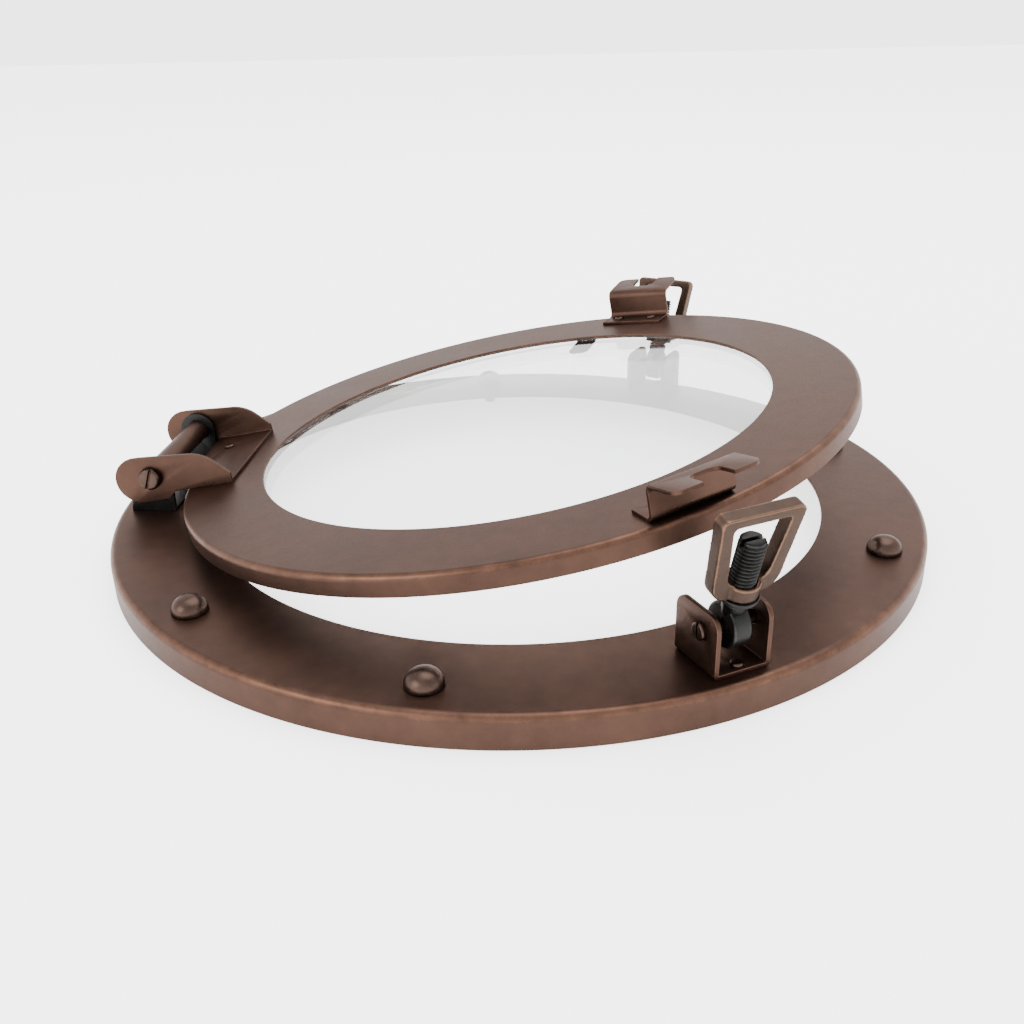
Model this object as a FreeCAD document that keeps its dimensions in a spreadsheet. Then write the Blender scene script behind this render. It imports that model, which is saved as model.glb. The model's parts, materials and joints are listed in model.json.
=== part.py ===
"""Opening porthole in pressed sheet metal: a base ring that is bolted to a wall, a glazed
cover ring hinged to it, and two swing-bolt dogs whose stirrup nuts clamp the cover shut.

Frame: +Z stands out of the wall, z = 0 is the wall plane, the origin is the centre of the
base ring and the hinge pin runs along Y on the -X side. Lengths are in millimetres. The
cover's pieces are drawn shut and then turned open about the hinge pin; each dog is drawn
upright on the +X side, leant out about its pivot and turned to its station round the ring.
"""

import FreeCAD, Part
import math
import os
import re

import Sketcher

Vector = FreeCAD.Vector
doc = FreeCAD.newDocument("OpeningPorthole")
sheet = doc.addObject("Spreadsheet::Sheet", "Sizes")

SIZES = (
    # Base ring: a pressed pan, flat on top with its outer rim turned down to the wall
    ("ring_outer", 152.4, "outer radius of the base ring"),
    ("ring_inner", 115.6, "radius of the clear opening"),
    ("ring_top", 11.0, "height of the ring's flat above the wall"),
    ("ring_sheet", 1.2, "sheet of the base ring"),
    ("ring_round", 2.5, "rounding of the rim's outer edge"),
    # Cover ring, shut
    ("cover_outer", 126.6, "outer radius of the cover ring"),
    ("cover_inner", 96.6, "radius of the sight opening"),
    ("cover_top", 18.8, "height of the shut cover's top face"),
    ("cover_depth", 7.1, "depth of the cover's rim"),
    ("cover_sheet", 1.0, "sheet of the cover ring"),
    ("cover_round", 2.0, "rounding of the cover's outer edge"),
    ("cover_open", 9.8, "how far open the cover stands, degrees"),
    # Glazing
    ("gasket_outer", 105.4, "outer radius of the glazing gasket"),
    ("gasket_inner", 97.4, "inner radius of the glazing gasket"),
    ("gasket_thick", 0.8, "thickness of the glazing gasket"),
    ("pane_radius", 105.4, "radius of the glass"),
    ("pane_thick", 3.0, "thickness of the glass"),
    ("clip_count", 2, "clips behind the glass"),
    ("clip_sheet", 0.8, "sheet of a clip"),
    ("clip_width", 9.0, "width of a clip"),
    ("clip_inner", 90.0, "radius that a clip's finger reaches in to"),
    ("clip_wall", 107.0, "radius of the inner face of a clip's wall"),
    ("clip_outer", 117.0, "outer radius of a clip's foot"),
    ("clip_station", 76.0, "angle of the first clip, degrees"),
    # Dome bolts round the base ring
    ("bolt_circle", 138.8, "radius of the circle that bolts and dogs stand on"),
    ("bolt_head", 5.9, "radius of a dome head"),
    ("bolt_dome", 5.4, "height of a dome head"),
    ("bolt_crown", 5.3, "rounding of a dome head"),
    ("bolt_shank", 2.5, "radius of a bolt's shank"),
    ("bolt_tail", 0.8, "height of a shank's end above the wall"),
    ("bolt_nut", 8.0, "width across the flats of a bolt's nut"),
    ("bolt_nut_high", 4.0, "height of a bolt's nut"),
    ("bolt_front_right", -21.0, "bolt angle, degrees"),
    ("bolt_front_mid", -96.5, "bolt angle, degrees"),
    ("bolt_front_left", -134.0, "bolt angle, degrees"),
    ("bolt_rear_right", 21.0, "bolt angle, degrees"),
    ("bolt_rear_mid", 100.0, "bolt angle, degrees"),
    ("bolt_rear_left", 134.0, "bolt angle, degrees"),
    # Hinge
    ("pin_out", 135.4, "distance of the hinge pin from the ring's axis"),
    ("pin_up", 25.5, "height of the hinge pin"),
    ("pin_radius", 2.5, "radius of the hinge pin"),
    ("pin_head", 4.2, "radius of the pin's slotted head"),
    ("pin_head_high", 2.6, "height of the pin's head"),
    ("pin_nut_high", 3.5, "height of the pin's nut"),
    ("pin_turn", 18.0, "turn of the pin's slot, degrees"),
    ("strap_half", 27.2, "half the width over the strap's cheeks"),
    ("strap_sheet", 1.3, "sheet of the strap"),
    ("strap_outer", 127.6, "distance of the strap plate's outer edge"),
    ("strap_inner", 104.8, "distance of the strap plate's inner end"),
    ("strap_tip", 2.6, "height of a cheek over the plate at its inner end"),
    ("strap_lobe", 8.8, "radius of a cheek's rounded outer end"),
    ("strap_lobe_out", 140.6, "distance of that rounding's centre"),
    ("strap_lobe_up", 25.1, "height of that rounding's centre"),
    ("strap_knee_out", 113.4, "distance of the bend in a cheek's top edge"),
    ("strap_knee_up", 31.8, "height of the bend in a cheek's top edge"),
    ("strap_knee_round", 14.0, "rounding of that bend"),
    ("strap_rivet_out", 118.8, "distance of the strap's rivets"),
    ("strap_rivet_side", 12.0, "the rivets' distance either side of the middle"),
    ("ear_gap", 0.4, "side clearance between an ear and its cheek"),
    ("ear_sheet", 1.5, "sheet of the base bracket"),
    ("ear_lobe", 7.0, "radius of an ear round the pin"),
    ("ear_foot", 145.5, "distance of the foot's outer edge"),
    ("ear_rivet_side", 15.0, "the bracket rivets' distance either side of the middle"),
    ("barrel_radius", 4.2, "outer radius of the spacer barrel"),
    # Dogs
    ("dog_front", -60.5, "angle of the front dog, degrees"),
    ("dog_rear", 65.0, "angle of the rear dog, degrees"),
    ("dog_lean", 15.0, "how far out each swing bolt leans, degrees"),
    ("pivot_out", 140.0, "distance of a dog's pivot from the ring's axis"),
    ("pivot_up", 23.6, "height of a dog's pivot"),
    ("pivot_radius", 2.0, "radius of the pivot screw"),
    ("pivot_head", 2.8, "radius of the pivot screw's head"),
    ("pivot_head_high", 1.5, "height of the pivot screw's head"),
    ("pivot_nut", 7.0, "width across the flats of the pivot nut"),
    ("pivot_nut_high", 2.4, "height of the pivot nut"),
    ("clevis_inner", 127.4, "distance of the clevis' inner edge"),
    ("clevis_depth", 20.2, "length of the clevis along the radius"),
    ("clevis_half", 9.45, "half the width over the clevis' cheeks"),
    ("clevis_sheet", 1.5, "sheet of the clevis"),
    ("clevis_high", 19.3, "height of the clevis over the ring"),
    ("clevis_round", 4.5, "rounding of the cheeks' top corners"),
    ("clevis_rivet_near", 132.6, "distance of the clevis' inner rivet"),
    ("clevis_rivet_far", 144.6, "distance of the clevis' outer rivet"),
    ("eye_radius", 7.0, "outer radius of the swing bolt's eye"),
    ("eye_half", 3.0, "half the thickness of the eye"),
    ("shank_radius", 3.92, "radius over the swing bolt's thread"),
    ("shank_reach", 30.8, "length from the pivot to the bolt's end"),
    ("end_slot", 1.3, "width of the slot across the bolt's end"),
    ("end_slot_deep", 2.2, "depth of that slot"),
    ("washer_radius", 6.0, "outer radius of the thrust washer"),
    ("washer_thick", 1.2, "thickness of the thrust washer"),
    ("nut_foot", 11.9, "distance from the pivot to the stirrup nut's underside"),
    ("nut_crown", 40.8, "distance from the pivot to the top of the stirrup"),
    ("nut_foot_half", 10.6, "half the stirrup's width at its foot"),
    ("nut_crown_half", 13.5, "half the stirrup's width at its top"),
    ("nut_arm", 4.3, "width of the stirrup's arms"),
    ("nut_hub", 4.8, "thickness of the stirrup's foot"),
    ("nut_bar", 3.2, "thickness of the stirrup's top bar"),
    ("nut_deep", 4.6, "depth of the stirrup along the radius"),
    ("nut_boss", 5.4, "radius of the tapped boss"),
    ("nut_bore", 4.0, "radius of the tapped bore"),
    # Lugs on the cover that the dogs reach over
    ("lug_half", 14.25, "half the width of a lug"),
    ("lug_sheet", 1.2, "sheet of a lug"),
    ("lug_foot", 112.5, "distance of the foot's inner edge"),
    ("lug_wall", 124.0, "distance of the wall's outer face"),
    ("lug_tip", 138.4, "distance of the plate's outer edge"),
    ("lug_high", 12.4, "height of the plate's top over the cover, at the wall"),
    ("lug_rise", 1.9, "rise of the plate from the wall to its outer edge"),
    ("lug_notch_half", 5.0, "half the width of the notch"),
    ("lug_notch_end", 129.5, "distance of the notch's inner end"),
    ("lug_bend", 3.2, "outer radius of the lug's bends"),
    ("lug_corner", 3.0, "rounding of the plate's corners"),
    ("lug_rivet_out", 118.0, "distance of the lug's rivets"),
    ("lug_rivet_side", 8.0, "the rivets' distance either side of the middle"),
    # Rivets and clearances
    ("rivet_shank", 1.4, "radius of a rivet's shank"),
    ("rivet_head", 2.0, "radius of a rivet's head"),
    ("rivet_high", 1.0, "height of a rivet's head"),
    ("hole_play", 0.05, "radial clearance of a fixed fastener in its hole"),
    ("turn_play", 0.08, "radial clearance of a pin in a hole that turns on it"),
    ("head_play", 0.1, "clearance beside the cheek that turns"),
)


def fill_sheet():
    """Write every driving dimension into the spreadsheet: name, value and meaning."""
    for row, (alias, value, meaning) in enumerate(SIZES, start=1):
        sheet.set(f"A{row}", alias)
        sheet.set(f"B{row}", str(value))
        sheet.set(f"C{row}", meaning)
        sheet.setAlias(f"B{row}", alias)
    doc.recompute()


def size(text):
    """Value of an expression whose words are sizes of the sheet."""
    return float(sheet.evalExpression(bound(text)))


def bound(text):
    """The expression with each size's word turned into a reference to its cell."""
    return re.sub(r"[a-z_]+", lambda word: f"Sizes.{word[0]}" if word[0] in ALIASES else word[0], text)


ALIASES = {alias for alias, _, _ in SIZES}


# Feature helpers

def new_body(label):
    """An empty PartDesign body."""
    body = doc.addObject("PartDesign::Body", label)
    body.Label = label
    return body


def sketch_on(body, plane, name, offset="0"):
    """A sketch on one of the body's own origin planes, moved along its normal by offset."""
    sketch = body.newObject("Sketcher::SketchObject", name)
    support = next(item for item in body.Origin.OriginFeatures if item.Role == plane)
    sketch.AttachmentSupport = [(support, "")]
    sketch.MapMode = "FlatFace"
    sketch.setExpression("AttachmentOffset.Base.z", bound(offset))
    return sketch


def hold_point(sketch, geometry, vertex, place):
    """Fix a vertex at a place given as two expressions."""
    for kind, text in zip(("DistanceX", "DistanceY"), place):
        datum = sketch.addConstraint(Sketcher.Constraint(kind, -1, 1, geometry, vertex, size(text)))
        sketch.setExpression(f"Constraints[{datum}]", bound(text))


def outline(sketch, corners):
    """A closed run of straight edges through corners given as expressions."""
    spots = [Vector(size(across), size(up), 0) for across, up in corners]
    first = sketch.GeometryCount
    count = len(spots)
    for index, spot in enumerate(spots):
        sketch.addGeometry(Part.LineSegment(spot, spots[(index + 1) % count]), False)
    for index in range(count):
        here, after = first + index, first + (index + 1) % count
        sketch.addConstraint(Sketcher.Constraint("Coincident", here, 2, after, 1))
    for index, place in enumerate(corners):
        hold_point(sketch, first + index, 1, place)


def circle(sketch, across, up, radius):
    """A circle whose centre and radius are expressions."""
    middle = Vector(size(across), size(up), 0)
    index = sketch.addGeometry(Part.Circle(middle, Vector(0, 0, 1), size(radius)), False)
    hold_point(sketch, index, 3, (across, up))
    datum = sketch.addConstraint(Sketcher.Constraint("Radius", index, size(radius)))
    sketch.setExpression(f"Constraints[{datum}]", bound(radius))


def hexagon(sketch, across, up, flats):
    """A regular hexagon of a width across flats, two of its flats along the sketch's Y."""
    corner = f"{flats} / 2 / cos(30 deg)"
    outline(sketch, [(f"{across} + {corner} * cos({turn} deg)",
                      f"{up} + {corner} * sin({turn} deg)") for turn in range(30, 390, 60)])


def pad(body, sketch, length, name, both_ways=False, back=False):
    """Extrude the sketch by a length, along its normal unless told otherwise."""
    feature = body.newObject("PartDesign::Pad", name)
    feature.Profile = sketch
    feature.SideType = "Symmetric" if both_ways else "One side"
    feature.Reversed = back
    feature.setExpression("Length", bound(length))
    doc.recompute()
    return feature


def spin(body, sketch, name):
    """A full turn of the sketch about its own vertical axis."""
    feature = body.newObject("PartDesign::Revolution", name)
    feature.Profile = sketch
    feature.ReferenceAxis = (sketch, ["V_Axis"])
    feature.Angle = 360
    doc.recompute()
    return feature


def pocket(body, sketch, name, length=None, both_ways=True, back=False):
    """Cut the sketch through, or to a length, and make sure that it took something away."""
    before = body.Shape.Volume
    feature = body.newObject("PartDesign::Pocket", name)
    feature.Profile = sketch
    feature.SideType = "Symmetric" if both_ways else "One side"
    feature.Reversed = back
    if length is None:
        feature.Type = "ThroughAll"
    else:
        feature.setExpression("Length", bound(length))
    doc.recompute()
    if body.Shape.Volume > before - 1e-3:
        raise RuntimeError(f"{body.Label}: {name} cuts nothing")
    return feature


def round_edges(body, radius, name, chosen):
    """Fillet the edges whose middle point satisfies a test."""
    base = body.Tip
    names = [f"Edge{index}" for index, edge in enumerate(base.Shape.Edges, start=1)
             if chosen(edge, edge.valueAt((edge.FirstParameter + edge.LastParameter) / 2))]
    if not names:
        raise RuntimeError(f"{body.Label}: {name} finds no edge")
    feature = body.newObject("PartDesign::Fillet", name)
    feature.Base = (base, names)
    feature.setExpression("Radius", bound(radius))
    doc.recompute()
    return feature


def near(value, text):
    """Whether a number equals an expression's value."""
    return abs(value - size(text)) < 1e-3


def rim_edges(radius, height):
    """Picks the circular edges of a radius at a height round the Z axis."""
    return lambda edge, middle: (near(math.hypot(middle.x, middle.y), radius)
                                 and near(middle.z, height))


def corner_edges(axis, *places):
    """Picks the straight edges along an axis that pass through places on the other two."""
    others = [name for name in "xyz" if name != axis]

    def chosen(edge, middle):
        along = getattr(edge.tangentAt(edge.FirstParameter), axis)
        if abs(abs(along) - 1) > 1e-6:
            return False
        return any(near(getattr(middle, others[0]), first) and near(getattr(middle, others[1]), second)
                   for first, second in places)

    return chosen


# Places

def at_station(angle):
    """Turn round the ring's axis to a station given in degrees."""
    return FreeCAD.Placement(Vector(), FreeCAD.Rotation(Vector(0, 0, 1), size(angle)))


def shift(across, side, up):
    """A move given as three expressions."""
    return FreeCAD.Placement(Vector(size(across), size(side), size(up)), FreeCAD.Rotation())


def cover_opened():
    """Turn the shut cover about the hinge pin to where it stands open."""
    pin = Vector(-size("pin_out"), 0, size("pin_up"))
    return FreeCAD.Placement(Vector(), FreeCAD.Rotation(Vector(0, 1, 0), -size("cover_open")), pin)


def dog_leant():
    """Lean a dog outwards about its pivot."""
    pivot = Vector(size("pivot_out"), 0, size("pivot_up"))
    return FreeCAD.Placement(Vector(), FreeCAD.Rotation(Vector(0, 1, 0), size("dog_lean")), pivot)


def group(label, master, places, placement=None):
    """One node that holds a copy of the master's solid at each place."""
    feature = doc.addObject("Part::Feature", label)
    feature.Label = label
    copies = [master.Shape.transformed(place.toMatrix(), True) for place in places]
    feature.Shape = Part.makeCompound(copies)
    feature.Placement = placement or FreeCAD.Placement()
    return feature


# Base ring and its bolts

BOLTS = [f"bolt_{side}_{place}" for side in ("front", "rear") for place in ("right", "mid", "left")]
DOGS = {"front": "dog_front", "rear": "dog_rear"}
CLEVIS_RIVETS = ("clevis_rivet_near", "clevis_rivet_far")


def pan_profile(sketch, outer, inner, top, foot, thick):
    """Section of a ring pressed from sheet: a flat with its outer rim turned down."""
    outline(sketch, [(inner, top), (outer, top), (outer, foot), (f"{outer} - {thick}", foot),
                     (f"{outer} - {thick}", f"{top} - {thick}"), (inner, f"{top} - {thick}")])


def polar(radius, angle):
    """Expressions for the X and Y of a point on a circle."""
    return f"{radius} * cos({angle} * 1 deg)", f"{radius} * sin({angle} * 1 deg)"


def base_ring():
    """The ring that lies against the wall, drilled for its bolts and brackets."""
    body = new_body("base_ring")
    section = sketch_on(body, "XZ_Plane", "ring_section")
    pan_profile(section, "ring_outer", "ring_inner", "ring_top", "0", "ring_sheet")
    spin(body, section, "ring_pan")
    round_edges(body, "ring_round", "ring_rim", rim_edges("ring_outer", "ring_top"))
    round_edges(body, "ring_round - ring_sheet", "ring_fold",
                rim_edges("ring_outer - ring_sheet", "ring_top - ring_sheet"))
    round_edges(body, "ring_sheet / 3", "ring_lip", rim_edges("ring_inner", "ring_top"))
    holes = sketch_on(body, "XY_Plane", "ring_holes")
    for angle in BOLTS:
        circle(holes, *polar("bolt_circle", angle), "bolt_shank + hole_play")
    for angle in DOGS.values():
        for distance in CLEVIS_RIVETS:
            circle(holes, *polar(distance, angle), "rivet_shank + hole_play")
    for side in ("", "-"):
        circle(holes, "0 - (pin_out + ear_foot - ear_lobe) / 2", f"{side} ear_rivet_side",
               "rivet_shank + hole_play")
    pocket(body, holes, "ring_drilling")
    return body


def dome_bolt():
    """A dome-headed bolt on the ring's axis, to be copied to its stations."""
    body = new_body("dome_bolt_master")
    section = sketch_on(body, "XZ_Plane", "bolt_section")
    outline(section, [("0", "ring_top + bolt_dome"), ("bolt_head", "ring_top + bolt_dome"),
                      ("bolt_head", "ring_top"), ("bolt_shank", "ring_top"),
                      ("bolt_shank", "bolt_tail"), ("0", "bolt_tail")])
    spin(body, section, "bolt_turned")
    round_edges(body, "bolt_crown", "bolt_dome_round", rim_edges("bolt_head", "ring_top + bolt_dome"))
    return body


def dome_bolt_nut():
    """The hexagon nut under the ring's sheet."""
    body = new_body("dome_bolt_nut_master")
    section = sketch_on(body, "XY_Plane", "bolt_nut_hexagon", "ring_top - ring_sheet")
    hexagon(section, "0", "0", "bolt_nut")
    circle(section, "0", "0", "bolt_shank + hole_play")
    pad(body, section, "bolt_nut_high", "bolt_nut_body", back=True)
    return body


def rivet(label, under, over, head):
    """A rivet whose shank fills the sheets from under to over, domed both ends."""
    body = new_body(label)
    section = sketch_on(body, "XZ_Plane", f"{label}_section")
    outline(section, [("0", f"{over} + rivet_high"), (head, f"{over} + rivet_high"), (head, over),
                      ("rivet_shank", over), ("rivet_shank", under), (head, under),
                      (head, f"{under} - rivet_high * 0.8"), ("0", f"{under} - rivet_high * 0.8")])
    spin(body, section, f"{label}_turned")
    round_edges(body, "rivet_high * 0.75", f"{label}_crown",
                lambda edge, middle: near(math.hypot(middle.x, middle.y), head)
                and (near(middle.z, f"{over} + rivet_high")
                     or near(middle.z, f"{under} - rivet_high * 0.8")))
    return body


# Hinge

def hinge_bracket():
    """The U bracket on the base ring: a foot and two ears that carry the pin."""
    body = new_body("hinge_bracket")
    wide = "(strap_half - strap_sheet - ear_gap)"
    left, right = "0 - pin_out - ear_lobe", "0 - pin_out + ear_lobe"
    side = sketch_on(body, "XZ_Plane", "bracket_side")
    outline(side, [("0 - ear_foot", "ring_top"), (right, "ring_top"), (right, "pin_up + ear_lobe"),
                   (left, "pin_up + ear_lobe"), (left, "pin_up"),
                   ("0 - ear_foot", "ring_top + ear_sheet")])
    pad(body, side, f"2 * {wide}", "bracket_block", both_ways=True)
    round_edges(body, "ear_lobe - 0.05", "bracket_lobes",
                corner_edges("y", (left, "pin_up + ear_lobe"), (right, "pin_up + ear_lobe")))
    inside = sketch_on(body, "XZ_Plane", "bracket_inside")
    outline(inside, [("0 - ear_foot - 1", "ring_top + ear_sheet"), (f"{right} + 1", "ring_top + ear_sheet"),
                     (f"{right} + 1", "pin_up + ear_lobe + 1"),
                     ("0 - ear_foot - 1", "pin_up + ear_lobe + 1")])
    pocket(body, inside, "bracket_hollow", f"2 * {wide} - 2 * ear_sheet")
    bore = sketch_on(body, "XZ_Plane", "bracket_bore")
    circle(bore, "0 - pin_out", "pin_up", "pin_radius + hole_play")
    pocket(body, bore, "bracket_pin_holes")
    holes = sketch_on(body, "XY_Plane", "bracket_rivet_spots")
    for sign in ("", "-"):
        circle(holes, "0 - (pin_out + ear_foot - ear_lobe) / 2", f"{sign} ear_rivet_side",
               "rivet_shank + hole_play")
    pocket(body, holes, "bracket_rivet_holes")
    return body


def hinge_barrel():
    """The spacer between the bracket's ears."""
    body = new_body("hinge_barrel")
    section = sketch_on(body, "XZ_Plane", "barrel_section")
    circle(section, "0 - pin_out", "pin_up", "barrel_radius")
    circle(section, "0 - pin_out", "pin_up", "pin_radius + hole_play")
    pad(body, section, "2 * (strap_half - strap_sheet - ear_gap - ear_sheet)", "barrel_tube",
        both_ways=True)
    return body


def slotted_screw(label, across, up, shank, head, head_high, seat, end, slot):
    """A screw along Y: a slotted round head beyond y = -seat and a shank that ends at y = end."""
    body = new_body(label)
    stem = sketch_on(body, "XZ_Plane", f"{label}_stem", seat)
    circle(stem, across, up, shank)
    pad(body, stem, f"{seat} + {end}", f"{label}_shank", back=True)
    crown = sketch_on(body, "XZ_Plane", f"{label}_crown", seat)
    circle(crown, across, up, head)
    pad(body, crown, head_high, f"{label}_head")
    round_edges(body, f"{head_high} * 0.45", f"{label}_head_round",
                lambda edge, middle: near(middle.y, f"0 - ({seat}) - {head_high}"))
    cut = sketch_on(body, "XZ_Plane", f"{label}_slot", f"{seat} + {head_high}")
    left, right = f"{across} - {slot} / 2", f"{across} + {slot} / 2"
    low, high = f"{up} - {head} - 1", f"{up} + {head} + 1"
    outline(cut, [(left, low), (right, low), (right, high), (left, high)])
    pocket(body, cut, f"{label}_slotting", f"{head_high} * 0.55", both_ways=False)
    return body


def cross_nut(label, across, up, flats, bore, seat, high):
    """A hexagon nut along Y, seated at y = seat."""
    body = new_body(label)
    section = sketch_on(body, "XZ_Plane", f"{label}_hexagon", f"0 - ({seat})")
    hexagon(section, across, up, flats)
    circle(section, across, up, f"{bore} + hole_play")
    pad(body, section, high, f"{label}_block", back=True)
    return body


def hinge_strap():
    """The strap on the cover: a riveted plate whose two cheeks reach out to the pin."""
    body = new_body("hinge_strap")
    lobe_left = "0 - strap_lobe_out - strap_lobe"
    lobe_top, lobe_low = "strap_lobe_up + strap_lobe", "strap_lobe_up - strap_lobe"
    plate_top = "cover_top + strap_sheet"
    side = sketch_on(body, "XZ_Plane", "strap_side")
    outline(side, [("0 - strap_inner", "cover_top"), ("0 - strap_inner", f"{plate_top} + strap_tip"),
                   ("0 - strap_knee_out", "strap_knee_up"),
                   ("0 - strap_lobe_out + strap_lobe / 4", lobe_top), (lobe_left, lobe_top),
                   (lobe_left, lobe_low), ("0 - pin_out + strap_lobe / 2", lobe_low),
                   ("0 - strap_outer", "cover_top")])
    pad(body, side, "2 * strap_half", "strap_block", both_ways=True)
    round_edges(body, "strap_lobe - 0.05", "strap_lobes",
                corner_edges("y", (lobe_left, lobe_top), (lobe_left, lobe_low)))
    round_edges(body, "strap_knee_round", "strap_knee",
                corner_edges("y", ("0 - strap_knee_out", "strap_knee_up")))
    inside = sketch_on(body, "XZ_Plane", "strap_inside")
    far, high, low = f"{lobe_left} - 1", f"{lobe_top} + 1", f"{lobe_low} - 1"
    outline(inside, [(far, low), ("0 - strap_outer", low), ("0 - strap_outer", plate_top),
                     ("0 - strap_inner + 1", plate_top), ("0 - strap_inner + 1", high), (far, high)])
    pocket(body, inside, "strap_hollow", "2 * strap_half - 2 * strap_sheet")
    bore = sketch_on(body, "XZ_Plane", "strap_bore")
    circle(bore, "0 - pin_out", "pin_up", "pin_radius + turn_play")
    pocket(body, bore, "strap_pin_holes")
    holes = sketch_on(body, "XY_Plane", "strap_rivet_spots")
    for sign in ("", "-"):
        circle(holes, "0 - strap_rivet_out", f"{sign} strap_rivet_side", "rivet_shank + hole_play")
    pocket(body, holes, "strap_rivet_holes")
    return body


# Cover

def cover_ring():
    """The ring that carries the glass, drilled for its lugs and strap."""
    body = new_body("cover_ring")
    section = sketch_on(body, "XZ_Plane", "cover_section")
    pan_profile(section, "cover_outer", "cover_inner", "cover_top", "cover_top - cover_depth",
                "cover_sheet")
    spin(body, section, "cover_pan")
    round_edges(body, "cover_round", "cover_rim", rim_edges("cover_outer", "cover_top"))
    round_edges(body, "cover_round - cover_sheet", "cover_fold",
                rim_edges("cover_outer - cover_sheet", "cover_top - cover_sheet"))
    round_edges(body, "cover_sheet / 3", "cover_lip", rim_edges("cover_inner", "cover_top"))
    holes = sketch_on(body, "XY_Plane", "cover_holes")
    for angle in DOGS.values():
        for sign in ("+", "-"):
            across, up = lug_rivet_place(angle, sign)
            circle(holes, across, up, "rivet_shank + hole_play")
    for sign in ("", "-"):
        circle(holes, "0 - strap_rivet_out", f"{sign} strap_rivet_side", "rivet_shank + hole_play")
    pocket(body, holes, "cover_drilling")
    return body


def lug_rivet_place(angle, sign):
    """Expressions for one of a lug's two rivets, set either side of the lug's radius."""
    cosine, sine = f"cos({angle} * 1 deg)", f"sin({angle} * 1 deg)"
    other = "-" if sign == "+" else "+"
    return (f"lug_rivet_out * {cosine} {other} lug_rivet_side * {sine}",
            f"lug_rivet_out * {sine} {sign} lug_rivet_side * {cosine}")


def disc(label, outer, top, thick, inner=None):
    """A flat disc or ring that hangs down from a height."""
    body = new_body(label)
    section = sketch_on(body, "XY_Plane", f"{label}_circle", top)
    circle(section, "0", "0", outer)
    if inner:
        circle(section, "0", "0", inner)
    pad(body, section, thick, f"{label}_disc", back=True)
    return body


def glass_clips():
    """Spring clips welded under the ring, each with a finger that bears on the glass."""
    body = new_body("glass_clips")
    sheet_under = "cover_top - cover_sheet"
    glass_under = f"{sheet_under} - gasket_thick - pane_thick"
    section = sketch_on(body, "XZ_Plane", "clip_section")
    outline(section, [("clip_inner", glass_under), ("clip_wall", glass_under), ("clip_wall", sheet_under),
                      ("clip_outer", sheet_under), ("clip_outer", f"{sheet_under} - clip_sheet"),
                      ("clip_wall + clip_sheet", f"{sheet_under} - clip_sheet"),
                      ("clip_wall + clip_sheet", f"{glass_under} - clip_sheet"),
                      ("clip_inner", f"{glass_under} - clip_sheet")])
    pad(body, section, "clip_width", "clip_bend", both_ways=True)
    round_edges(body, "clip_width * 0.4", "clip_finger_end",
                lambda edge, middle: near(middle.x, "clip_inner") and near(abs(middle.y), "clip_width / 2"))
    pattern = body.newObject("PartDesign::PolarPattern", "clip_pattern")
    pattern.Originals = [body.getObject(name) for name in ("clip_bend", "clip_finger_end")]
    pattern.Axis = (section, ["V_Axis"])
    pattern.Angle = 360
    pattern.setExpression("Occurrences", bound("clip_count"))
    body.Tip = pattern
    doc.recompute()
    return body


def lug(label):
    """A Z bent from strip: a riveted foot, a wall and a rising, notched plate for the dog."""
    body = new_body(label)
    plate, under = "cover_top + lug_high", "cover_top + lug_high - lug_sheet"
    section = sketch_on(body, "XZ_Plane", f"{label}_section")
    outline(section, [("lug_foot", "cover_top"), ("lug_wall", "cover_top"), ("lug_wall", under),
                      ("lug_tip", f"{under} + lug_rise"), ("lug_tip", f"{plate} + lug_rise"),
                      ("lug_wall - lug_sheet", plate),
                      ("lug_wall - lug_sheet", "cover_top + lug_sheet"),
                      ("lug_foot", "cover_top + lug_sheet")])
    pad(body, section, "2 * lug_half", f"{label}_strip", both_ways=True)
    round_edges(body, "lug_bend", f"{label}_outer_bends",
                corner_edges("y", ("lug_wall", "cover_top"), ("lug_wall - lug_sheet", plate)))
    round_edges(body, "lug_bend - lug_sheet", f"{label}_inner_bends",
                corner_edges("y", ("lug_wall", under), ("lug_wall - lug_sheet", "cover_top + lug_sheet")))
    round_edges(body, "lug_corner", f"{label}_corners",
                lambda edge, middle: near(middle.x, "lug_tip") and near(abs(middle.y), "lug_half"))
    notch = sketch_on(body, "XY_Plane", f"{label}_notch_shape", f"{plate} + lug_rise")
    outline(notch, [("lug_notch_end", "0 - lug_notch_half"), ("lug_tip + 1", "0 - lug_notch_half"),
                    ("lug_tip + 1", "lug_notch_half"), ("lug_notch_end", "lug_notch_half")])
    pocket(body, notch, f"{label}_notch", "2 * lug_sheet + lug_rise", both_ways=False)
    round_edges(body, "lug_notch_half * 0.6", f"{label}_notch_round",
                lambda edge, middle: near(middle.x, "lug_notch_end")
                and near(abs(middle.y), "lug_notch_half"))
    holes = sketch_on(body, "XY_Plane", f"{label}_rivet_spots")
    for sign in ("", "-"):
        circle(holes, "lug_rivet_out", f"{sign} lug_rivet_side", "rivet_shank + hole_play")
    pocket(body, holes, f"{label}_rivet_holes")
    return body


# Dogs

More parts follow.
